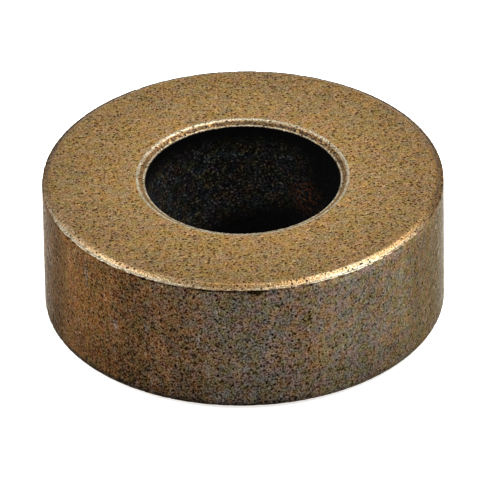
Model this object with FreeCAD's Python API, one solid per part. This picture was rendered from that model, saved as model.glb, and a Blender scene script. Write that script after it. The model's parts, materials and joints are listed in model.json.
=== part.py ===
import FreeCAD, Part
import os

# Sleeve bushing: one thick-walled ring of pressed and sintered bronze, in millimetres.
# The origin is the centre of the lower end face, and +Z runs up along the bore.

# Driving dimensions
bore_diameter = 17.0      # the shaft runs in it
outer_diameter = 35.0     # presses into the housing
length = 12.5             # over both end faces

# Rim round each end of the bore: a cone down from the end face, then a narrow flat land
bore_rim_width = 0.66     # radial, from the bore wall to the end face, land included
bore_rim_depth = 0.32     # axial, from the end face down to the land
bore_land = 0.18          # radial width of the land, where the punch's edge pressed

# Rim round each end of the outer wall, built the same way
outer_rim_width = 0.65
outer_rim_depth = 0.25
outer_land = 0.26

blend_radius = 0.5        # softens the corner where each cone leaves the end face

# Derived sizes
bore_radius = bore_diameter / 2
outer_radius = outer_diameter / 2
bore_rim_radius = bore_radius + bore_rim_width
outer_rim_radius = outer_radius - outer_rim_width

AXIS = FreeCAD.Vector(0, 0, 1)
ORIGIN = FreeCAD.Vector(0, 0, 0)
SAME_SIZE = 1e-6          # two lengths closer than this are the same length


def upper_outline():
    """Radius and height of each corner of the wall's section over its upper end, from the bore outwards."""
    bore_shelf = length - bore_rim_depth
    outer_shelf = length - outer_rim_depth
    return [
        (bore_radius, bore_shelf),
        (bore_radius + bore_land, bore_shelf),
        (bore_rim_radius, length),
        (outer_rim_radius, length),
        (outer_radius - outer_land, outer_shelf),
        (outer_radius, outer_shelf),
    ]


def wall_section():
    """The wall's section as a face in the XZ plane. The lower end is the upper end turned over."""
    upper = upper_outline()
    lower = [(radius, length - height) for radius, height in reversed(upper)]
    corners = [FreeCAD.Vector(radius, 0, height) for radius, height in upper + lower]
    return Part.Face(Part.makePolygon(corners + corners[:1]))


def circles_at(solid, radius, height):
    """The solid's circular edges of one radius at one height."""
    found = []
    for edge in solid.Edges:
        curve = edge.Curve
        if not isinstance(curve, Part.Circle):
            continue
        if abs(curve.Radius - radius) < SAME_SIZE and abs(curve.Center.z - height) < SAME_SIZE:
            found.append(edge)
    return found


def sleeve_bushing():
    """The whole ring, with the corners between its end faces and its cones blended."""
    ring = wall_section().revolve(ORIGIN, AXIS, 360)
    corners = []
    for height in (0, length):
        for radius in (bore_rim_radius, outer_rim_radius):
            corners += circles_at(ring, radius, height)
    return ring.makeFillet(blend_radius, corners)


os.makedirs("parts", exist_ok=True)
sleeve_bushing().exportStep("parts/sleeve_bushing.step")
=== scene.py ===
import json
import math

import bpy
import numpy as np
from mathutils import Matrix, Vector
from mathutils.geometry import delaunay_2d_cdt


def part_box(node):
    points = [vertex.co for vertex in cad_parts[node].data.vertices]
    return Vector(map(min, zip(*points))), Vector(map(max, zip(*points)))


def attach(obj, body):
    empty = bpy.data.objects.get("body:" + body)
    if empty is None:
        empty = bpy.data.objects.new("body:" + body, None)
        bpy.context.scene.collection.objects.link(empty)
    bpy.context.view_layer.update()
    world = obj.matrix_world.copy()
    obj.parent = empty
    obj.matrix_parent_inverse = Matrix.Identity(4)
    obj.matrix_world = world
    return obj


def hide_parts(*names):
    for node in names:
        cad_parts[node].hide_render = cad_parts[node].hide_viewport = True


# A sleeve bushing of pressed and sintered bronze, standing on one end on a white studio floor.
# The ring's skin is built as one closed mesh round the CAD section: fine rows of points run over the
# rims, and the end faces and walls are triangulated round about 2,500 real pits.
# Lengths are in millimetres until the mesh is written, and metres in the scene.

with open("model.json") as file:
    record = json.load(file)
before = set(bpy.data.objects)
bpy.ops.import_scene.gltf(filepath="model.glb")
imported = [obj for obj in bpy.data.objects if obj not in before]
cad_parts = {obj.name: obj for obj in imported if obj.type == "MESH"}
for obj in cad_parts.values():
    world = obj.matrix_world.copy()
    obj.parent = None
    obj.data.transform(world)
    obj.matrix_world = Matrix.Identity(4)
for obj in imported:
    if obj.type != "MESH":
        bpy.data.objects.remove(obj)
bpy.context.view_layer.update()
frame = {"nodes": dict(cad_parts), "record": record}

NODE = "sleeve_bushing"
MM = 0.001
TAU = 2 * math.pi
FRONT = -math.pi / 2                   # azimuth of the side that faces the camera, -Y
BACK = math.pi / 2
SAME_HEIGHT = 0.002                    # points closer in height than this are at one height
draw = np.random.default_rng(47)       # every random number comes from this one source


# ---------------------------------------------------------------- the section, from the CAD part

def radii_at(height):
    """The least and greatest radius of the CAD mesh's points at one height, in millimetres."""
    points = np.array([v.co for v in frame["nodes"][NODE].data.vertices]) / MM
    level = points[np.abs(points[:, 2] - height) < SAME_HEIGHT]
    radii = np.hypot(level[:, 0], level[:, 1])
    return radii.min(), radii.max()


def mount(name):
    """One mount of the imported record."""
    return next(m for m in frame["record"]["mounts"] if m["name"] == name)


_, high_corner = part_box(NODE)
LENGTH = high_corner.z / MM
OUTER = high_corner.x / MM
BORE = mount("shaft_bore")["dims"]["r_mm"]
BORE_SHELF = (LENGTH - mount("shaft_bore")["dims"]["length_mm"]) / 2      # drop to the bore's land
OUTER_SHELF = (LENGTH - mount("housing_fit")["dims"]["length_mm"]) / 2    # drop to the outer land
FACE_IN, FACE_OUT = radii_at(LENGTH)                                      # the flat end face
BORE_LAND_WIDTH = 0.18                 # the flat land between each cone and its wall
OUTER_LAND_WIDTH = 0.26
BORE_LAND = BORE + BORE_LAND_WIDTH     # radius where each cone meets its land
OUTER_LAND = OUTER - OUTER_LAND_WIDTH
BLEND = 0.5                            # radius between an end face and its cones
BORE_ROUND = 0.09                      # radius of the worn corner between each land and its wall
OUTER_ROUND = 0.13

# Rows of points over each rim: steps of the blend and of the worn corner, and where the rest are
BORE_BLEND_STEPS, BORE_ROUND_STEPS = 3, 3
OUTER_BLEND_STEPS, OUTER_ROUND_STEPS = 4, 5
CONE_SHARES = (0.25, 0.5, 0.75, 0.93)  # how far down each cone
BORE_LAND_ROWS = (0.03,)               # past the foot of the cone
OUTER_LAND_ROWS = (0.025, 0.075)
BORE_WALL_ROWS = (0.1, 0.24)           # below the worn corner
OUTER_WALL_ROWS = (0.07, 0.15, 0.24, 0.34)
SLOPE_ROUNDS = 20                      # more than enough for the cone's slope to settle


def face_to_cone(face_radius, land_radius, shelf, steps):
    """The blend and the cone from an end face to its land, as (radius, drop) pairs. Works either way."""
    way = 1.0 if land_radius > face_radius else -1.0
    run = abs(land_radius - face_radius)
    slope = 0.0
    for _ in range(SLOPE_ROUNDS):
        corner = BLEND * math.tan(slope / 2)
        slope = math.atan2(shelf, run - corner)
    pairs = []
    for step in range(steps + 1):
        turn = slope * step / steps
        pairs.append((face_radius + way * BLEND * math.sin(turn), BLEND * (1 - math.cos(turn))))
    start_radius, start_drop = pairs[-1]
    for share in CONE_SHARES:
        radius = start_radius + (land_radius - start_radius) * share
        pairs.append((radius, start_drop + (shelf - start_drop) * share))
    return pairs


def worn_corner(edge_radius, way, shelf, round_radius, steps):
    """The rounded corner between a land and a wall, as (radius, drop) pairs.

    Way is 1 for the outer wall and -1 for the bore, here and below.
    """
    pairs = []
    for step in range(steps + 1):
        turn = math.pi / 2 * step / steps
        radius = edge_radius - way * round_radius * (1 - math.sin(turn))
        pairs.append((radius, shelf + round_radius * (1 - math.cos(turn))))
    return pairs


def outer_profile():
    """Rows of the outer rim, from the end face out and down, and the first row of the wall."""
    rows = face_to_cone(FACE_OUT, OUTER_LAND, OUTER_SHELF, OUTER_BLEND_STEPS)
    rows += [(OUTER_LAND + past, OUTER_SHELF) for past in OUTER_LAND_ROWS]
    first_wall_row = len(rows) + (OUTER_ROUND_STEPS + 1) // 2
    rows += worn_corner(OUTER, 1.0, OUTER_SHELF, OUTER_ROUND, OUTER_ROUND_STEPS)
    bottom = rows[-1][1]
    rows += [(OUTER, bottom + below) for below in OUTER_WALL_ROWS]
    return rows, first_wall_row


def bore_profile():
    """Rows of the bore's rim, from the end face in and down, and the first row of the bore wall."""
    rows = face_to_cone(FACE_IN, BORE_LAND, BORE_SHELF, BORE_BLEND_STEPS)
    rows += [(BORE_LAND - past, BORE_SHELF) for past in BORE_LAND_ROWS]
    first_wall_row = len(rows) + (BORE_ROUND_STEPS + 1) // 2
    rows += worn_corner(BORE, -1.0, BORE_SHELF, BORE_ROUND, BORE_ROUND_STEPS)
    bottom = rows[-1][1]
    rows += [(BORE, bottom + below) for below in BORE_WALL_ROWS]
    return rows, first_wall_row


# ---------------------------------------------------------------- the skin

END_METAL, WALL_METAL, BORE_METAL, RIM_METAL = 0, 1, 2, 3      # slots, in the order they are filled
UPPER_DISC, LOWER_DISC, WALL_STRIP, BORE_STRIP = 0, 1, 2, 3    # islands of the texture map
OUTER_COUNT = 600                      # points round each outer rim row
BORE_COUNT = 340

# Dents in the edges of one rim, as (how many, half widths, depths)
OUTER_NICKS = (120, (0.10, 0.34), (0.02, 0.075))
OUTER_CHIPS = (64, (0.10, 0.36), (0.02, 0.075))
BORE_NICKS = (46, (0.10, 0.28), (0.015, 0.05))
LARGE_CHIP = (FRONT + math.radians(3.0), 0.70, 0.13)           # azimuth, half width and depth
DENT_HEIGHT = 0.75                     # of a dent, as a share of its width
NICK_ROWS = 1.6                        # how many rows a nick spreads over, each side of the edge
NICK_DARKNESS = 16                     # for each millimetre of depth, up to fully dark
CHIP_DARKNESS = 30
RIM_ROUGHNESS = 0.012                  # greatest random depth of a point
END_ROUGHNESS = 0.004
WALL_ROUGHNESS = 0.005

# Pits in one surface, as (how many in a square millimetre, (least radius, greatest radius))
END_PITS = (0.85, (0.085, 0.19))
WALL_PITS = (0.85, (0.08, 0.17))
BORE_PITS = (0.7, (0.09, 0.18))
PIT_SIDES = 6
PIT_DEPTH = 0.36                       # of its radius
PIT_RINGS = ((1.0, 0.0, 0.0), (0.58, 0.75, 0.9))               # shares of radius, depth and darkness
SMALL_PITS = 2.2                       # the greater, the fewer large pits there are
PIT_MARGIN = 0.16                      # least gap to the border
PIT_GAP = 0.07                         # least gap between two pits
PIT_TRIES = 6                          # for each pit wanted

FILL_STEP = 0.42                       # spacing of plain points between pits
FILL_ROW = 0.866                       # of the spacing, so that the triangles are about equal-sided
FILL_SHIFT = 0.11                      # greatest random shift of a plain point
FILL_MARGIN = 0.17                     # least gap to the border
FILL_GAP = 0.13                        # least gap to a pit
SAME_PLACE = 1e-7                      # points closer than this count as one in the triangulation
MAP_GAP = 0.7                          # between the islands of the texture map


class Skin:
    """The ring's surface while it is built. Depth is how far a point is pressed into the metal."""

    def __init__(self):
        self.points = []
        self.normals = []
        self.depths = []
        self.pits = []
        self.wears_and_highlights = []
        self.grimes_and_shades = []
        self.count = 0
        self.triangles = []
        self.metals = []
        self.islands = []

    def add_points(self, points, normals, depths, pits, wears_and_highlights=None, grimes_and_shades=None):
        """Adds points and returns their numbers."""
        first = self.count
        none = np.zeros(len(points))
        self.points.append(points)
        self.normals.append(normals)
        self.depths.append(depths)
        self.pits.append(pits)
        self.wears_and_highlights.append(none if wears_and_highlights is None else wears_and_highlights)
        self.grimes_and_shades.append(none if grimes_and_shades is None else grimes_and_shades)
        self.count += len(points)
        return np.arange(first, self.count)

    def add_triangles(self, triangles, metal, island):
        """Adds triangles of one metal, in one island of the texture map."""
        self.triangles.append(triangles)
        self.metals.append(np.full(len(triangles), metal))
        self.islands.append(np.full(len(triangles), island))


# How dark the step of each rim is, as (azimuth in degrees, share) once round: partly grime and partly
# painted shade, dark on the far +Y half and clean on the -Y half
OUTER_STAIN_AND_SHADE = (
    (0, 0.85), (20, 0.9), (50, 0.9), (65, 1.0), (165, 1.0), (178, 0.8), (190, 0.4), (200, 0.0),
    (330, 0.0), (343, 0.85),
)
BORE_STAIN_AND_SHADE = (
    (0, 0.9), (40, 1.0), (85, 1.0), (110, 0.95), (140, 0.9), (165, 0.8), (200, 0.3), (215, 0.0),
    (325, 0.0),
)

# How bright the outer rim is rubbed, in the same way: partly wear and partly a painted highlight where the
# lamps catch it
OUTER_RUB_AND_HIGHLIGHT = (
    (0, 0.0), (178, 0.1), (193, 0.5), (207, 1.0), (230, 1.0), (250, 0.8), (263, 0.3), (275, 0.65),
    (287, 0.4), (296, 1.3), (307, 1.5), (315, 0.6), (330, 0.45), (342, 0.0),
)

# How bright the metal is rubbed, and how dark it is with grime and painted shade, as (row, share) from the
# face down
OUTER_WEAR = (
    (0, 0.2), (2, 0.22), (4, 0.22), (6, 0.28), (8, 0.62), (9, 1.0), (11, 1.0), (13, 0.6), (17, 0.2),
)
OUTER_GRIME_AND_SHADE = ((0.5, 0.0), (2, 0.4), (4, 0.8), (5, 1.0), (13, 1.0), (16, 0.4))
BORE_WEAR = (
    (0, 1.0), (1, 1.0), (2, 0.7), (3.5, 0.1), (6, 0.0), (7, 0.3), (8, 1.0), (9, 1.0), (11, 0.2),
)
BORE_GRIME_AND_SHADE = (
    (2, 0.0), (3, 0.5), (4, 1.0), (6, 1.0), (7, 0.8), (8, 0.0), (9, 0.15), (10, 1.0), (12, 1.0),
)


def azimuths(count):
    """The azimuth of each point of a row. The first is at the back."""
    return BACK + TAU * np.arange(count) / count


def row_normals(rows, way):
    """The radial and upward parts of each row's outward direction, worked out from its neighbours."""
    pairs = np.array(rows)
    along = np.gradient(pairs, axis=0)
    radial = way * along[:, 1]
    upward = way * along[:, 0]
    size = np.hypot(radial, upward)
    return radial / size, upward / size


def nick_list(count, widths, depths):
    """Random dents in an edge: the azimuth, half width and depth of each."""
    places = draw.uniform(0, TAU, count)
    return list(zip(places, draw.uniform(*widths, count), draw.uniform(*depths, count)))


def dent_at(angles, nicks, radius, below=0.0):
    """How deep the nicks are at each azimuth, some way below the edge. Each is a flat oval."""
    depth = np.zeros(len(angles))
    for place, half_width, nick_depth in nicks:
        away = np.abs((angles - place + math.pi) % TAU - math.pi) * radius
        fall = (below / (DENT_HEIGHT * half_width)) ** 2
        depth = np.maximum(depth, nick_depth * np.clip(1 - (away / half_width) ** 2 - fall, 0, 1))
    return depth


def around_ring(angles, stops):
    """A value at each azimuth, between (degrees, value) stops that go once round."""
    places, values = zip(*stops)
    return np.interp(np.degrees(angles) % 360, places, values, period=360)


def row_share(row, stops):
    """A share for one row, between (row, share) stops."""
    places, shares = zip(*stops)
    return np.interp(row, places, shares)


def add_row(skin, angles, place, direction, depths, darks, wears_and_highlights, grimes_and_shades):
    """Adds one row of a rim. Place is (radius, height), and direction its radial and upward parts."""
    radius, height = place
    radial, upward = direction
    level = np.ones(len(angles))
    points = np.stack([radius * np.cos(angles), radius * np.sin(angles), height * level], 1)
    normals = np.stack([radial * np.cos(angles), radial * np.sin(angles), upward * level], 1)
    return skin.add_points(points, normals, depths, np.clip(darks, 0, 1), wears_and_highlights, grimes_and_shades)


def join_rows(skin, numbers, first_wall_row, way, upper):
    """Adds the triangles between a rim's rows. From the first wall row on, they have the wall's metal."""
    disc = UPPER_DISC if upper else LOWER_DISC
    strip, metal = (WALL_STRIP, WALL_METAL) if way > 0 else (BORE_STRIP, BORE_METAL)
    for row in range(len(numbers) - 1):
        inner, outer = numbers[row], numbers[row + 1]
        inner_next, outer_next = np.roll(inner, -1), np.roll(outer, -1)
        first = np.stack([inner, outer, outer_next], 1)
        second = np.stack([inner, outer_next, inner_next], 1)
        both = np.concatenate([first, second])
        if (way > 0) != upper:
            both = both[:, ::-1]
        if row < first_wall_row:
            skin.add_triangles(both, RIM_METAL, disc)
        else:
            skin.add_triangles(both, metal, strip)


def add_rim(skin, profile, count, way, upper, nicks, chips, stain_and_shade):
    """Adds one rim and returns the numbers of its face-side row and of its wall-side row."""
    rows, first_wall_row = profile
    angles = azimuths(count)
    radial, upward = row_normals(rows, way)
    edge_radius = rows[-1][0]
    edge_row = first_wall_row - 2
    edge_drop = rows[first_wall_row][1]
    nick_depth = dent_at(angles, nicks, edge_radius)
    wear_and_highlight, grime_and_shade = (OUTER_WEAR, OUTER_GRIME_AND_SHADE) if way > 0 else (BORE_WEAR, BORE_GRIME_AND_SHADE)
    numbers = []
    for row, (radius, drop) in enumerate(rows):
        height = LENGTH - drop if upper else drop
        sign = 1.0 if upper else -1.0
        on_edge = math.exp(-((row - edge_row) / NICK_ROWS) ** 2)
        rough = 0.0 if row in (0, len(rows) - 1) else RIM_ROUGHNESS
        depths = draw.uniform(0, 1, count) ** 2 * rough + nick_depth * on_edge
        darks = nick_depth * on_edge * NICK_DARKNESS
        if first_wall_row <= row < len(rows) - 1:
            chip_depth = dent_at(angles, chips, edge_radius, drop - edge_drop)
            depths += chip_depth
            darks += chip_depth * CHIP_DARKNESS
        wears_and_highlights = np.full(count, row_share(row, wear_and_highlight))
        if way > 0:
            # On the outer rim the rubbing is partly a painted highlight where the lamps catch it.
            wears_and_highlights *= around_ring(angles, OUTER_RUB_AND_HIGHLIGHT)
        # The step's darkness: partly grime and partly painted shade on the far +Y half.
        grimes_and_shades = around_ring(angles, stain_and_shade) * row_share(row, grime_and_shade)
        direction = (radial[row], sign * upward[row])
        numbers.append(add_row(skin, angles, (radius, height), direction, depths, darks, wears_and_highlights, grimes_and_shades))
    join_rows(skin, numbers, first_wall_row, way, upper)
    return numbers[0], numbers[-1]


def scatter_pits(inside, area, corners, pits):
    """Centres and radii of pits that don't touch each other, inside a flat region."""
    per_mm2, (least, greatest) = pits
    wanted = int(area * per_mm2)
    low, high = corners
    centres = np.zeros((0, 2))
    sizes = np.zeros(0)
    tries = 0
    while len(centres) < wanted and tries < wanted * PIT_TRIES:
        tries += 1
        place = draw.uniform(low, high)
        size = least + (greatest - least) * draw.uniform() ** SMALL_PITS
        if not inside(place[None, :], size + PIT_MARGIN)[0]:
            continue
        gaps = np.hypot(*(centres - place).T) - sizes - size
        if len(gaps) and gaps.min() < PIT_GAP:
            continue
        centres = np.vstack([centres, place])
        sizes = np.append(sizes, size)
    return centres, sizes


def pit_points(centres, sizes):
    """Two uneven rings and a centre for each pit, with how deep and how dark each point is."""
    places, depths, darks = [], [], []
    turn = draw.uniform(0, TAU, len(centres))
    stretch = draw.uniform(0.72, 1.0, len(centres))
    for ring, (share, deep, dark) in enumerate(PIT_RINGS):
        for side in range(PIT_SIDES):
            angle = turn + TAU * (side + 0.5 * ring) / PIT_SIDES
            reach = sizes * share * draw.uniform(0.84, 1.12, len(centres))
            offset = np.stack([reach * np.cos(angle), reach * stretch * np.sin(angle)], 1)
            places.append(centres + offset)
            depths.append(sizes * PIT_DEPTH * deep)
            darks.append(np.full(len(centres), dark))
    places.append(centres)
    depths.append(sizes * PIT_DEPTH)
    darks.append(np.ones(len(centres)))
    return np.concatenate(places), np.concatenate(depths), np.concatenate(darks)


def fill_points(inside, corners, centres, sizes):
    """Uneven rows of plain points, kept off the borders and the pits."""
    low, high = corners
    across = np.arange(low[0], high[0], FILL_STEP)
    down = np.arange(low[1], high[1], FILL_STEP * FILL_ROW)
    grid = np.array([(x + (row % 2) * FILL_STEP / 2, y) for row, y in enumerate(down) for x in across])
    grid += draw.uniform(-FILL_SHIFT, FILL_SHIFT, grid.shape)
    grid = grid[inside(grid, FILL_MARGIN)]
    clear = np.ones(len(grid), bool)
    for centre, size in zip(centres, sizes):
        clear &= np.hypot(*(grid - centre).T) > size + FILL_GAP
    return grid[clear]


def triangulate(borders, loose, closed):
    """Delaunay triangles of border lines and loose points, as numbers into both stacked together."""
    places = np.concatenate(list(borders) + [loose])
    edges = []
    first = 0
    for border in borders:
        last = first + len(border) - 1
        edges += [(n, n + 1) for n in range(first, last)]
        if closed:
            edges.append((last, first))
        first = last + 1
    vectors = [Vector(p) for p in places]
    result = delaunay_2d_cdt(vectors, edges, [], 0, SAME_PLACE)
    if len(result[0]) != len(places):
        raise RuntimeError("the triangulation moved or joined points")
    return np.array(result[2])


def add_face(skin, inner_row, outer_row, upper):
    """Adds one end face between two rows that are already there, with its pits."""
    def inside(places, margin):
        radii = np.hypot(places[:, 0], places[:, 1])
        return (radii > FACE_IN + margin) & (radii < FACE_OUT - margin)

    area = math.pi * (FACE_OUT ** 2 - FACE_IN ** 2)
    corners = (np.array([-FACE_OUT, -FACE_OUT]), np.array([FACE_OUT, FACE_OUT]))
    centres, sizes = scatter_pits(inside, area, corners, END_PITS)
    pitted, pit_depths, pit_darks = pit_points(centres, sizes)
    plain = fill_points(inside, corners, centres, sizes)
    loose = np.concatenate([pitted, plain])
    depths = np.concatenate([pit_depths, np.zeros(len(plain))])
    depths += draw.uniform(0, END_ROUGHNESS, len(loose))
    darks = np.concatenate([pit_darks, np.zeros(len(plain))])
    height = LENGTH if upper else 0.0
    points = np.column_stack([loose, np.full(len(loose), height)])
    normals = np.tile([0.0, 0.0, 1.0 if upper else -1.0], (len(loose), 1))
    numbers = skin.add_points(points, normals, depths, darks)
    borders = [ring_places(inner_row, FACE_IN), ring_places(outer_row, FACE_OUT)]
    triangles = triangulate(borders, loose, True)
    in_hole = (triangles < len(inner_row)).all(1)
    lookup = np.concatenate([inner_row, outer_row, numbers])
    triangles = lookup[triangles[~in_hole]]
    if not upper:
        triangles = triangles[:, ::-1]
    skin.add_triangles(triangles, END_METAL, UPPER_DISC if upper else LOWER_DISC)


def ring_places(row, radius):
    """A row's points in the plane of the end face."""
    angles = azimuths(len(row))
    return np.stack([radius * np.cos(angles), radius * np.sin(angles)], 1)


def roll_up(flat, radius, way):
    """Points of a wall and their outward directions, from places on the unrolled wall."""
    angles = BACK + flat[:, 0] / radius
    points = np.stack([radius * np.cos(angles), radius * np.sin(angles), flat[:, 1]], 1)
    normals = np.stack([way * np.cos(angles), way * np.sin(angles), np.zeros(len(flat))], 1)
    return points, normals


def wall_borders(count, around, bottom, top, seam):
    """The unrolled wall's upper and lower border, and its seam at the far and the near side."""
    steps = np.linspace(0, around, count + 1)
    upper = np.stack([steps, np.full(len(steps), top)], 1)
    lower = np.stack([steps, np.full(len(steps), bottom)], 1)
    return [upper, lower, seam + np.array([around, 0.0]), seam]


def add_wall(skin, upper_row, lower_row, radius, drop, way, pits):
    """Adds a wall, unrolled from its seam at the back, between two rows that are already there."""
    around = TAU * radius
    bottom, top = drop, LENGTH - drop
    corners = (np.array([0.0, bottom]), np.array([around, top]))

    def inside(places, margin):
        low, high = corners
        return ((places > low + margin) & (places < high - margin)).all(1)

    centres, sizes = scatter_pits(inside, around * (top - bottom), corners, pits)
    pitted, pit_depths, pit_darks = pit_points(centres, sizes)
    plain = fill_points(inside, corners, centres, sizes)
    seam_heights = np.linspace(bottom, top, int((top - bottom) / FILL_STEP) + 1)[1:-1]
    seam = np.stack([np.zeros(len(seam_heights)), seam_heights], 1)
    loose = np.concatenate([pitted, plain])
    points, normals = roll_up(np.concatenate([seam, loose]), radius, way)
    depths = np.concatenate([np.zeros(len(seam)), pit_depths, draw.uniform(0, WALL_ROUGHNESS, len(plain))])
    darks = np.concatenate([np.zeros(len(seam)), pit_darks, np.zeros(len(plain))])
    numbers = skin.add_points(points, normals, depths, darks)

    borders = wall_borders(len(upper_row), around, bottom, top, seam)
    triangles = triangulate(borders, loose, False)
    lookup = np.concatenate([
        upper_row, upper_row[:1], lower_row, lower_row[:1], numbers[:len(seam)], numbers,
    ])
    triangles = lookup[triangles]
    if way > 0:
        skin.add_triangles(triangles, WALL_METAL, WALL_STRIP)
    else:
        skin.add_triangles(triangles[:, ::-1], BORE_METAL, BORE_STRIP)


def texture_places(points, triangles, islands):
    """A flat place for each triangle corner, in a square map of the whole skin."""
    side = 2 * OUTER + 3 * LENGTH + 4 * MAP_GAP
    corners = points[triangles]
    places = np.zeros((len(triangles), 3, 2))
    for disc, middle in ((UPPER_DISC, 0.5 * MAP_GAP + OUTER), (LOWER_DISC, 1.5 * MAP_GAP + 3 * OUTER)):
        on_disc = islands == disc
        places[on_disc] = corners[on_disc][:, :, :2] + np.array([middle, 0.5 * MAP_GAP + OUTER])
    middles = corners.mean(1)
    middle_angles = np.arctan2(middles[:, 1], middles[:, 0])
    angles = np.arctan2(corners[:, :, 1], corners[:, :, 0])
    angles = middle_angles[:, None] + (angles - middle_angles[:, None] + math.pi) % TAU - math.pi
    first_strip = 2 * OUTER + 1.5 * MAP_GAP
    strips = (
        ((islands == WALL_STRIP) & (middle_angles < 0), OUTER, math.pi, 0),
        ((islands == WALL_STRIP) & (middle_angles >= 0), OUTER, 0.0, 1),
        (islands == BORE_STRIP, BORE, math.pi, 2),
    )
    for chosen, radius, start, strip in strips:
        places[chosen, :, 0] = (angles[chosen] + start) * radius + MAP_GAP
        places[chosen, :, 1] = corners[chosen][:, :, 2] + first_strip + strip * (LENGTH + MAP_GAP)
    return places / side


# ---------------------------------------------------------------- the finished mesh

def ring_skin():
    """The whole closed skin."""
    skin = Skin()
    outer, bore = outer_profile(), bore_profile()
    outer_ends, bore_ends = {}, {}
    for upper in (True, False):
        nicks = nick_list(*OUTER_NICKS)
        chips = nick_list(*OUTER_CHIPS)
        if upper:
            chips.append(LARGE_CHIP)
        bore_nicks = nick_list(*BORE_NICKS)
        outer_ends[upper] = add_rim(skin, outer, OUTER_COUNT, 1.0, upper, nicks, chips, OUTER_STAIN_AND_SHADE)
        bore_ends[upper] = add_rim(skin, bore, BORE_COUNT, -1.0, upper, bore_nicks, [], BORE_STAIN_AND_SHADE)
    for upper in (True, False):
        add_face(skin, bore_ends[upper][0], outer_ends[upper][0], upper)
    for ends, profile, radius, way, pits in (
        (outer_ends, outer, OUTER, 1.0, WALL_PITS), (bore_ends, bore, BORE, -1.0, BORE_PITS),
    ):
        drop = profile[0][-1][1]
        add_wall(skin, ends[True][1], ends[False][1], radius, drop, way, pits)
    return skin


def ring_object():
    """The skin as a Blender object in metres, with its attributes and texture map."""
    skin = ring_skin()
    base = np.concatenate(skin.points)
    normals = np.concatenate(skin.normals)
    depths = np.concatenate(skin.depths)
    points = base - normals * depths[:, None]
    triangles = np.concatenate(skin.triangles)
    mesh = bpy.data.meshes.new("ring_surface")
    mesh.from_pydata((points * MM).tolist(), [], triangles.tolist())
    mesh.polygons.foreach_set("material_index", np.concatenate(skin.metals).astype(np.int32))
    mesh.polygons.foreach_set("use_smooth", np.ones(len(triangles), bool))
    for name, values in (("pit", skin.pits), ("wear_and_highlight", skin.wears_and_highlights), ("grime_and_shade", skin.grimes_and_shades)):
        attribute = mesh.attributes.new(name, "FLOAT", "POINT")
        attribute.data.foreach_set("value", np.concatenate(values).astype(np.float32))
    places = texture_places(base, triangles, np.concatenate(skin.islands))
    layer = mesh.uv_layers.new(name="OFBake")
    layer.data.foreach_set("uv", places.astype(np.float32).ravel())
    mesh.update()
    ring = bpy.data.objects.new("ring_surface", mesh)
    bpy.context.scene.collection.objects.link(ring)
    return ring


# ---------------------------------------------------------------- materials

# Colours are linear red, green and blue.
TAN = (0.152, 0.0905, 0.031)
DULL_TAN = (0.113, 0.078, 0.038)
# Rubbed metal, partly a painted highlight on the outer rim.
RUBBED_AND_HIGHLIGHT = (0.245, 0.226, 0.17)
# Dark of the rims' steps: partly grime and partly painted shade.
GRIME_AND_SHADE = (0.020, 0.011, 0.005)
OXIDE = (0.098, 0.070, 0.046)
RUST = (0.13, 0.055, 0.014)
DARK_STAIN = (0.055, 0.022, 0.008)
GREY_OXIDE = (0.105, 0.115, 0.125)
NEAR_BLACK = (0.008, 0.006, 0.005)
# Near black of the bore: partly oil and partly painted shade.
BLACK_OIL_AND_SHADE = (0.001, 0.001, 0.001)
DEEP_RUST = (0.065, 0.022, 0.008)

EYE = 2.2                              # equal steps of a colour to this power look equal
GRAINS_PER_MM = 5.0
BORE_GRAINS_PER_MM = 7.2
SPOTS_PER_MM = 1.3                     # of the spots over which the hue wanders
RELIEF = 0.02                          # height of the fine relief
WALL_RELIEF = 0.022
BORE_RELIEF = 0.015
BORE_RUST = (5.6, 6.3, 6.0)            # middle of the rusty patch in the bore


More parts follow.
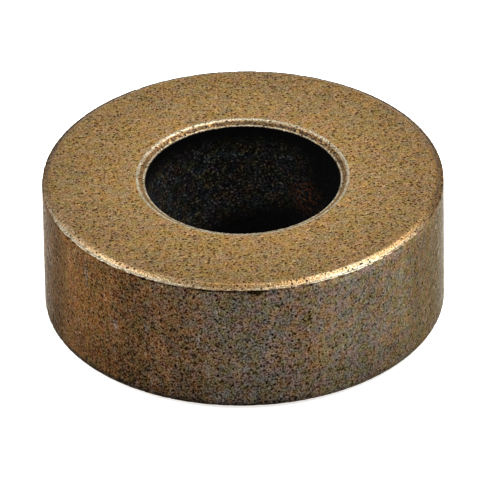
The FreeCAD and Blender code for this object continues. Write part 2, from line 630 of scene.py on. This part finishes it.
class Tree:
    """A material's node tree, with short ways to add nodes. Places are in millimetres."""

    def __init__(self, name):
        self.material = bpy.data.materials.new(name)
        self.material.use_nodes = True
        self.nodes = self.material.node_tree.nodes
        self.links = self.material.node_tree.links
        self.shader = self.nodes["Principled BSDF"]
        place = self.nodes.new("ShaderNodeTexCoord").outputs["Object"]
        self.place = self.vector("MULTIPLY", place, (1 / MM, 1 / MM, 1 / MM))

    def put(self, socket, value):
        """Links a socket, or sets its value."""
        if isinstance(value, bpy.types.NodeSocket):
            self.links.new(value, socket)
        else:
            socket.default_value = value

    def vector(self, operation, first, second):
        """An operation on two vectors that gives a vector."""
        node = self.nodes.new("ShaderNodeVectorMath")
        node.operation = operation
        self.put(node.inputs[0], first)
        self.put(node.inputs[1], second)
        return node.outputs["Vector"]

    def apart(self, first, second):
        """The distance between two places."""
        node = self.nodes.new("ShaderNodeVectorMath")
        node.operation = "DISTANCE"
        self.put(node.inputs[0], first)
        self.put(node.inputs[1], second)
        return node.outputs["Value"]

    def scaled(self, tint, factor):
        """A colour times a number."""
        node = self.nodes.new("ShaderNodeVectorMath")
        node.operation = "SCALE"
        self.put(node.inputs[0], tint)
        self.put(node.inputs["Scale"], factor)
        return node.outputs["Vector"]

    def stretched(self, shares):
        """The place times a share along each axis. A small share draws the noise out along that axis."""
        return self.vector("MULTIPLY", self.place, shares)

    def maths(self, operation, first, second=0.0):
        """An operation on one or two numbers."""
        node = self.nodes.new("ShaderNodeMath")
        node.operation = operation
        self.put(node.inputs[0], first)
        self.put(node.inputs[1], second)
        return node.outputs["Value"]

    def times(self, first, second):
        """The product of two numbers."""
        return self.maths("MULTIPLY", first, second)

    def noise(self, scale, detail, roughness, place=None, output="Fac"):
        """Smooth noise about 0.5, with features of about 1/scale millimetres."""
        node = self.nodes.new("ShaderNodeTexNoise")
        self.put(node.inputs["Vector"], self.place if place is None else place)
        self.put(node.inputs["Scale"], scale)
        self.put(node.inputs["Detail"], detail)
        self.put(node.inputs["Roughness"], roughness)
        return node.outputs[output]

    def cells(self, scale):
        """Grains of about 1/scale millimetres: a random colour for each, and how far its middle is."""
        node = self.nodes.new("ShaderNodeTexVoronoi")
        self.put(node.inputs["Vector"], self.place)
        self.put(node.inputs["Scale"], scale)
        return node.outputs["Color"], node.outputs["Distance"]

    def part(self, colour, channel):
        """One channel of a colour, as a number."""
        node = self.nodes.new("ShaderNodeSeparateColor")
        self.put(node.inputs["Color"], colour)
        return node.outputs[channel]

    def axis(self, name):
        """One coordinate of the place, in millimetres."""
        node = self.nodes.new("ShaderNodeSeparateXYZ")
        self.put(node.inputs["Vector"], self.place)
        return node.outputs[name]

    def attribute(self, name):
        """A value that the mesh holds for each point."""
        node = self.nodes.new("ShaderNodeAttribute")
        node.attribute_name = name
        return node.outputs["Fac"]

    def ramp(self, value, stops):
        """Colours along a number: stops are (place, (r, g, b)) pairs."""
        node = self.nodes.new("ShaderNodeValToRGB")
        elements = node.color_ramp.elements
        while len(elements) < len(stops):
            elements.new(0.5)
        for element, (position, colour) in zip(elements, stops):
            element.position = position
            element.color = (*colour, 1.0)
        self.put(node.inputs["Fac"], value)
        return node.outputs["Color"]

    def rise(self, value, low, high, bottom=0.0, top=1.0):
        """A smooth change from bottom to top as a number goes from low to high."""
        node = self.nodes.new("ShaderNodeMapRange")
        node.interpolation_type = "SMOOTHSTEP"
        self.put(node.inputs["Value"], value)
        self.put(node.inputs["From Min"], low)
        self.put(node.inputs["From Max"], high)
        self.put(node.inputs["To Min"], bottom)
        self.put(node.inputs["To Max"], top)
        return node.outputs["Result"]

    def mix(self, share, first, second, kind="MIX"):
        """A mix of two colours."""
        node = self.nodes.new("ShaderNodeMix")
        node.data_type = "RGBA"
        node.blend_type = kind
        self.put(node.inputs["Factor"], share)
        self.put(node.inputs[6], first if isinstance(first, bpy.types.NodeSocket) else (*first, 1.0))
        self.put(node.inputs[7], second if isinstance(second, bpy.types.NodeSocket) else (*second, 1.0))
        return node.outputs[2]

    def power(self, colour, exponent):
        """A colour with each channel raised to a power."""
        node = self.nodes.new("ShaderNodeGamma")
        self.put(node.inputs["Color"], colour)
        self.put(node.inputs["Gamma"], exponent)
        return node.outputs["Color"]

    def bump(self, height, distance):
        """Surface relief: height from 0 to 1, over a distance in millimetres."""
        node = self.nodes.new("ShaderNodeBump")
        self.put(node.inputs["Height"], height)
        self.put(node.inputs["Distance"], distance * MM)
        self.links.new(node.outputs["Normal"], self.shader.inputs["Normal"])

    def set_gloss(self, metallic, level, tint):
        """How metallic the surface is, and how strong and of what colour its gloss is."""
        self.shader.inputs["Metallic"].default_value = metallic
        self.shader.inputs["Specular IOR Level"].default_value = level
        self.shader.inputs["Specular Tint"].default_value = (*tint, 1.0)

    def set_sheen(self, weight, roughness, tint):
        """The light that the surface gives back at a grazing angle."""
        self.shader.inputs["Sheen Weight"].default_value = weight
        self.shader.inputs["Sheen Roughness"].default_value = roughness
        self.shader.inputs["Sheen Tint"].default_value = (*tint, 1.0)


def pores(tree, scale, chosen, size):
    """Fine pores: in a share of the grains, a spot at the middle. 1 in a pore and 0 outside."""
    colour, distance = tree.cells(scale)
    picked = tree.rise(tree.part(colour, "Green"), 1 - chosen - 0.02, 1 - chosen + 0.02)
    return tree.times(picked, tree.rise(distance, size, size * 0.6))


def drift(tree, tint, scale, blues, reds):
    """The tint with a hue that wanders from spot to spot, from yellow to blue and from green to red."""
    spots = tree.noise(scale, 0.0, 0.5, output="Color")
    blue = tree.rise(tree.part(spots, "Green"), 0.34, 0.66)
    red = tree.rise(tree.part(spots, "Blue"), 0.34, 0.66)
    tint = tree.mix(1.0, tint, tree.mix(blue, *blues), "MULTIPLY")
    return tree.mix(1.0, tint, tree.mix(red, *reds), "MULTIPLY")


def stepped(tree, tint, steps):
    """The tint made lighter or darker by equal steps in all three channels, as the eye sees them."""
    seen = tree.power(tint, 1 / EYE)
    for step in steps:
        seen = tree.vector("ADD", seen, step)
    return tree.power(tree.vector("MAXIMUM", seen, (0.0, 0.0, 0.0)), EYE)


def grit(tree, grain, scale, deepest):
    """Light and dark steps of the metal's grains, and of fine dark spots between them."""
    grains = tree.ramp(tree.part(grain, "Red"), [
        (0.0, (-0.14, -0.14, -0.14)), (0.25, (-0.062, -0.062, -0.062)), (0.8, (-0.018, -0.018, -0.018)),
        (1.0, (0.053, 0.053, 0.053)),
    ])
    return grains, tree.rise(tree.noise(scale, 2.0, 0.6), 0.33, 0.62, deepest, 0.08)


def grain_roughness(tree, grain, low, high):
    """A roughness that differs from grain to grain."""
    return tree.rise(tree.part(grain, "Blue"), 0.0, 1.0, low, high)


def pressed_relief(tree, grain, holes, swell, step):
    """Relief of pressed metal: a soft swell, a small step from grain to grain, and sunken holes."""
    height = tree.times(tree.noise(5.0, 2.0, 0.6), swell)
    height = tree.maths("ADD", height, tree.times(tree.part(grain, "Red"), step))
    tree.bump(tree.maths("SUBTRACT", height, holes), RELIEF)


def end_tint(tree):
    """Pressed bronze: tan and ochre, and a little lighter round the bore."""
    patches = tree.rise(tree.noise(0.5, 3.0, 0.6), 0.46, 0.66, 0.0, 0.4)
    blues = ((1.02, 1.0, 0.80), (0.98, 1.0, 1.20))
    reds = ((0.94, 1.015, 1.0), (1.06, 0.985, 1.0))
    tint = drift(tree, tree.mix(patches, TAN, DULL_TAN), SPOTS_PER_MM, blues, reds)
    from_axis = tree.apart(tree.stretched((1.0, 1.0, 0.0)), (0.0, 0.0, 0.0))
    return tree.scaled(tint, tree.rise(from_axis, FACE_IN - 1.5, FACE_OUT + 0.5, 1.12, 0.80))


def end_metal():
    """End faces: pressed bronze with dark pores."""
    tree = Tree("pressed_bronze_ends")
    grain, _ = tree.cells(GRAINS_PER_MM)
    holes = tree.maths("MAXIMUM", pores(tree, 2.7, 0.55, 0.40), tree.attribute("pit"))
    steps = (*grit(tree, grain, 7.5, -0.125), tree.times(holes, -0.20))
    tree.put(tree.shader.inputs["Base Color"], stepped(tree, end_tint(tree), steps))
    tree.set_gloss(0.78, 0.3, (1.0, 0.9, 0.72))
    tree.put(tree.shader.inputs["Roughness"], grain_roughness(tree, grain, 0.44, 0.64))
    pressed_relief(tree, grain, holes, 0.5, 0.2)
    return tree.material


def rim_metal():
    """Rims: smoother ochre cones, edges rubbed bright and partly a painted highlight, and brown grime in
    the steps that is partly painted shade.
    """
    tree = Tree("rubbed_bronze_rims")
    grain, _ = tree.cells(GRAINS_PER_MM)
    tint = tree.mix(1.0, end_tint(tree), (1.08, 0.92, 0.58), "MULTIPLY")
    broken = tree.rise(tree.noise(3.0, 3.0, 0.65), 0.32, 0.54, 0.5, 1.0)
    # Rubbed metal: on the outer rim partly a painted highlight.
    tint = tree.mix(tree.times(tree.attribute("wear_and_highlight"), broken), tint, RUBBED_AND_HIGHLIGHT)
    # Grime in the steps, partly painted shade on the far +Y half.
    grime_and_shade = tree.times(tree.attribute("grime_and_shade"), tree.rise(tree.noise(4.0, 3.0, 0.7), 0.33, 0.5))
    tint = tree.mix(tree.times(grime_and_shade, 0.95), tint, GRIME_AND_SHADE)
    holes = tree.maths("MAXIMUM", pores(tree, 3.2, 0.4, 0.38), tree.attribute("pit"))
    steps = (*grit(tree, grain, 7.5, -0.12), tree.times(holes, -0.30))
    tree.put(tree.shader.inputs["Base Color"], stepped(tree, tint, steps))
    tree.set_gloss(0.6, 0.3, (0.85, 0.75, 0.6))
    roughness = tree.maths("ADD", grain_roughness(tree, grain, 0.24, 0.38), tree.times(grime_and_shade, 0.3))
    tree.put(tree.shader.inputs["Roughness"], roughness)
    pressed_relief(tree, grain, holes, 0.6, 0.3)
    return tree.material


def wall_tone_and_painted_light(tree, across, height):
    """How the wall's colour changes from side to side, and how it darkens towards its foot: partly the
    oxide's own colour and partly painted light and shade. The darkening towards the foot, away from the
    sides, is painted shade.
    """
    share = tree.maths("ADD", tree.times(across, 0.5 / OUTER), 0.5)
    stops = [
        (0.0, (0.22, 0.10, 0.03)), (0.034, (0.24, 0.10, 0.02)), (0.047, (0.50, 0.29, 0.11)),
        (0.06, (0.82, 0.52, 0.25)), (0.08, (1.10, 0.72, 0.38)), (0.13, (0.84, 0.55, 0.25)),
        (0.20, (0.56, 0.40, 0.22)), (0.29, (0.65, 0.53, 0.38)), (0.36, (0.60, 0.52, 0.42)),
        (0.47, (0.65, 0.67, 0.66)), (0.57, (0.70, 0.72, 0.76)), (0.66, (0.79, 0.71, 0.59)),
        (0.75, (0.93, 0.98, 0.97)), (0.89, (0.92, 0.92, 0.82)), (0.95, (0.61, 0.55, 0.39)),
        (1.0, (0.30, 0.30, 0.19)),
    ]
    # The darkest stops near the two edges are partly oxide and partly painted shade, and are kept to the
    # -Y half.
    kept_in = tree.maths("MINIMUM", tree.maths("MAXIMUM", share, 0.065), 0.92)
    behind = tree.rise(tree.axis("Y"), -2.5, 1.0)
    tone = tree.mix(behind, tree.ramp(share, stops), tree.ramp(kept_in, stops))
    # Painted shade: darker towards the foot, but not near the sides.
    edge_on = tree.rise(tree.maths("ABSOLUTE", across), 13.0, 16.5)
    low = tree.times(tree.rise(height, 5.5, 1.5), tree.maths("SUBTRACT", 1.0, edge_on))
    return tree.scaled(tone, tree.rise(low, 0.0, 1.0, 1.0, 0.72))


def wall_stains(tree, tint, across):
    """Rust and dark stains on the -X side, grey streaks, and faint upright runs."""
    rust = tree.times(tree.rise(across, 1.0, -9.0), tree.rise(tree.noise(0.6, 3.0, 0.7), 0.45, 0.68))
    tint = tree.mix(tree.times(rust, 0.35), tint, RUST)
    stains = tree.rise(tree.noise(0.6, 3.0, 0.65, tree.stretched((1.0, 1.0, 0.5))), 0.5, 0.66)
    stains = tree.times(stains, tree.rise(across, -4.0, -11.0, 0.0, 0.5))
    tint = tree.mix(stains, tint, DARK_STAIN)
    streaks = tree.noise(0.8, 3.0, 0.6, tree.stretched((1.5, 1.5, 0.45)))
    tint = tree.mix(tree.rise(streaks, 0.60, 0.78, 0.0, 0.45), tint, GREY_OXIDE)
    runs = tree.noise(0.32, 4.0, 0.7, tree.stretched((1.0, 1.0, 0.12)))
    return tree.scaled(tint, tree.rise(runs, 0.34, 0.66, 0.86, 1.14))


def wall_lines(tree, tint, across, height):
    """A painted highlight as a paler strip under the rim on the +X side, and dark lines under the rim and
    along the foot that are partly dirt and partly painted shade.
    """
    top = LENGTH - OUTER_SHELF
    # Painted highlight: a paler strip under the rim on the +X side.
    strip = tree.times(tree.rise(height, top - 0.8, top - 0.4), tree.rise(across, 3.0, 7.0, 0.0, 0.45))
    tint = tree.scaled(tint, tree.maths("ADD", 1.0, strip))
    # Dark lines under the rim and along the foot: partly dirt and partly painted shade.
    dirt_and_shade_under_rim = tree.times(tree.rise(height, top - 0.29, top - 0.15), tree.rise(across, -10.5, -7.0))
    dirt_and_shade_under_rim = tree.times(dirt_and_shade_under_rim, tree.rise(across, 4.5, 2.0))
    dirt_and_shade_at_foot = tree.rise(height, OUTER_SHELF + 0.75, OUTER_SHELF + 0.25)
    dirt_and_shade_at_foot = tree.times(dirt_and_shade_at_foot, tree.rise(across, 7.0, 1.0, 0.5, 1.0))
    patchy = tree.rise(tree.noise(1.6, 2.0, 0.6), 0.3, 0.6, 0.6, 1.0)
    dirt_and_shade_lines = tree.times(tree.maths("MAXIMUM", dirt_and_shade_under_rim, dirt_and_shade_at_foot), patchy)
    return tree.mix(tree.times(dirt_and_shade_lines, 0.92), tint, NEAR_BLACK)


def wall_metal():
    """Outer wall: brown oxide over bronze, rust to one side and grey in patches, with many dark pores, and
    a tone across and down the wall that is partly painted light and shade.
    """
    tree = Tree("oxidised_bronze_wall")
    grain, _ = tree.cells(GRAINS_PER_MM)
    across = tree.axis("X")
    height = tree.axis("Z")
    tint = tree.mix(1.0, wall_tone_and_painted_light(tree, across, height), OXIDE, "MULTIPLY")
    blues = ((1.04, 1.0, 0.76), (0.96, 1.0, 1.24))
    reds = ((0.88, 1.02, 1.0), (1.12, 0.98, 1.0))
    tint = drift(tree, tint, SPOTS_PER_MM, blues, reds)
    tint = wall_stains(tree, tint, across)
    tint = wall_lines(tree, tint, across, height)
    fewer = tree.rise(tree.maths("ABSOLUTE", across), 16.6, 13.5, 0.35, 1.0)
    fine = tree.times(pores(tree, 2.9, 0.55, 0.39), fewer)
    holes = tree.maths("MAXIMUM", fine, tree.attribute("pit"))
    dark_holes = tree.times(holes, tree.rise(across, 1.0, 9.0, -0.20, -0.15))
    glints = tree.times(pores(tree, 1.5, 0.05, 0.09), 0.3)
    deepest = tree.rise(across, 1.0, 9.0, -0.14, -0.10)
    steps = (*grit(tree, grain, 6.6, deepest), dark_holes, glints)
    tree.put(tree.shader.inputs["Base Color"], stepped(tree, tint, steps))
    tree.set_gloss(0.55, 0.05, (0.75, 0.62, 0.42))
    tree.set_sheen(0.23, 0.17, (1.0, 1.0, 0.93))
    tree.put(tree.shader.inputs["Roughness"], grain_roughness(tree, grain, 0.45, 0.7))
    relief = tree.times(tree.noise(5.0, 2.0, 0.6), 0.5)
    tree.bump(tree.maths("SUBTRACT", relief, holes), WALL_RELIEF)
    return tree.material


def painted_bore_light(tree):
    """A painted pool of light in the bore, where its grains are shown: not near its ends, and less on the
    +X side.
    """
    depth = tree.maths("SUBTRACT", LENGTH, tree.axis("Z"))
    across = tree.axis("X")
    leaning = tree.maths("ADD", depth, tree.times(across, 0.35))
    band = tree.times(tree.rise(depth, 0.9, 3.4), tree.rise(leaning, 10.4, 7.6))
    return tree.times(band, tree.rise(across, 6.8, 3.2))


def bore_metal():
    """Bore wall: black, partly with oil and partly as painted shade, with brown and grey grains shown
    lower down in a painted pool of light, and one rusty patch.
    """
    tree = Tree("oiled_bronze_bore")
    grain, _ = tree.cells(BORE_GRAINS_PER_MM)
    shown = tree.ramp(tree.part(grain, "Red"), [
        (0.0, (0.001, 0.001, 0.001)), (0.5, (0.004, 0.004, 0.004)), (0.78, (0.016, 0.016, 0.014)),
        (0.93, (0.033, 0.030, 0.025)), (1.0, (0.085, 0.075, 0.056)),
    ])
    blues = ((1.10, 1.0, 0.65), (0.82, 0.95, 1.22))
    reds = ((0.88, 1.03, 1.0), (1.2, 0.92, 0.9))
    # Painted shade and light: near black, with the grains shown only in a painted pool of light.
    tint = tree.mix(painted_bore_light(tree), BLACK_OIL_AND_SHADE, drift(tree, shown, 1.0, blues, reds))
    rust = tree.rise(tree.apart(tree.place, BORE_RUST), 2.5, 0.8)
    rust = tree.times(rust, tree.rise(tree.noise(4.0, 3.0, 0.7), 0.52, 0.64))
    tree.put(tree.shader.inputs["Base Color"], tree.mix(rust, tint, DEEP_RUST))
    tree.set_gloss(0.0, 0.02, (1.0, 1.0, 1.0))
    tree.put(tree.shader.inputs["Roughness"], grain_roughness(tree, grain, 0.5, 0.8))
    relief = tree.maths("SUBTRACT", tree.noise(6.0, 2.0, 0.6), tree.attribute("pit"))
    tree.bump(relief, BORE_RELIEF)
    return tree.material


# ---------------------------------------------------------------- studio

FLOOR_HALF = 6.0                       # metres
FLOOR_SHADE = 0.7
FLOOR_GLOW = 0.62                      # enough that the floor renders white
LAMP_COLOUR = (1.0, 0.99, 0.97)
ROOM_LIGHT, CEILING_LIGHT = 1.05, 0.35
CEILING_STARTS, CEILING_FULL = 0.5, 0.9                        # upward part of the direction
CAMERA_HEIGHT = 33.2                   # degrees above the upper end face's plane
CAMERA_ROLL = -1.01                    # degrees
CAMERA_DISTANCE = 45 * OUTER * MM      # metres, from the middle of the upper end face
CAMERA_AIM = (-0.335, 0.0, 5.84)       # millimetres
SENSOR_WIDTH, LENS = 36.0, 678.9       # millimetres


def floor():
    """A large white floor."""
    half = FLOOR_HALF
    corners = [(-half, -half, 0), (half, -half, 0), (half, half, 0), (-half, half, 0)]
    mesh = bpy.data.meshes.new("studio_floor")
    mesh.from_pydata(corners, [], [(0, 1, 2, 3)])
    surface = bpy.data.objects.new("studio_floor", mesh)
    bpy.context.scene.collection.objects.link(surface)
    material = bpy.data.materials.new("white_paper")
    material.use_nodes = True
    shader = material.node_tree.nodes["Principled BSDF"]
    shader.inputs["Base Color"].default_value = (FLOOR_SHADE, FLOOR_SHADE, FLOOR_SHADE, 1.0)
    shader.inputs["Roughness"].default_value = 1.0
    shader.inputs["Specular IOR Level"].default_value = 0.0
    shader.inputs["Emission Color"].default_value = (1.0, 1.0, 1.0, 1.0)
    shader.inputs["Emission Strength"].default_value = FLOOR_GLOW
    mesh.materials.append(material)


def softbox(name, place, size, radiance):
    """A rectangular lamp that faces down. Radiance is how bright it looks."""
    light = bpy.data.lights.new(name, "AREA")
    light.shape = "RECTANGLE"
    light.size, light.size_y = size
    light.energy = radiance * math.pi * size[0] * size[1]
    light.color = LAMP_COLOUR
    lamp = bpy.data.objects.new(name, light)
    lamp.location = place
    bpy.context.scene.collection.objects.link(lamp)


def surroundings():
    """A white room under a dim ceiling."""
    world = bpy.data.worlds.new("white_room")
    world.use_nodes = True
    nodes, links = world.node_tree.nodes, world.node_tree.links
    background = nodes["Background"]
    direction = nodes.new("ShaderNodeTexCoord").outputs["Generated"]
    split = nodes.new("ShaderNodeSeparateXYZ")
    links.new(direction, split.inputs["Vector"])
    dim = nodes.new("ShaderNodeMapRange")
    dim.interpolation_type = "SMOOTHSTEP"
    links.new(split.outputs["Z"], dim.inputs["Value"])
    dim.inputs["From Min"].default_value = CEILING_STARTS
    dim.inputs["From Max"].default_value = CEILING_FULL
    dim.inputs["To Min"].default_value = ROOM_LIGHT
    dim.inputs["To Max"].default_value = CEILING_LIGHT
    background.inputs["Color"].default_value = (1.0, 1.0, 1.0, 1.0)
    links.new(dim.outputs["Result"], background.inputs["Strength"])
    bpy.context.scene.world = world


def camera():
    """A long lens from above the front, aimed near the ring's middle."""
    elevation = math.radians(CAMERA_HEIGHT)
    upper_middle = Vector((0, 0, LENGTH * MM))
    lens = bpy.data.cameras.new("studio_camera")
    lens.sensor_width = SENSOR_WIDTH
    lens.lens = LENS
    lens.clip_start = 0.05
    lens.clip_end = 20.0
    viewer = bpy.data.objects.new("studio_camera", lens)
    bpy.context.scene.collection.objects.link(viewer)
    place = upper_middle + CAMERA_DISTANCE * Vector((0, -math.cos(elevation), math.sin(elevation)))
    aim = Vector(CAMERA_AIM) * MM
    facing = (aim - place).to_track_quat("-Z", "Y").to_matrix().to_4x4()
    roll = Matrix.Rotation(math.radians(CAMERA_ROLL), 4, "Z")
    viewer.matrix_world = Matrix.Translation(place) @ facing @ roll
    bpy.context.scene.camera = viewer


camera()
floor()
softbox("right_softbox", (0.30, 0.105, 0.5), (0.44, 0.41), 13.0)
softbox("middle_softbox", (-0.11, 0.20, 0.5), (0.38, 0.20), 3.0)
softbox("left_softbox", (-0.50, 0.05, 0.5), (0.56, 0.36), 9.0)
surroundings()
bpy.context.scene.view_settings.view_transform = "Standard"

ring = ring_object()
for material in (end_metal(), wall_metal(), bore_metal(), rim_metal()):
    ring.data.materials.append(material)
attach(ring, "root")
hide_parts(NODE)
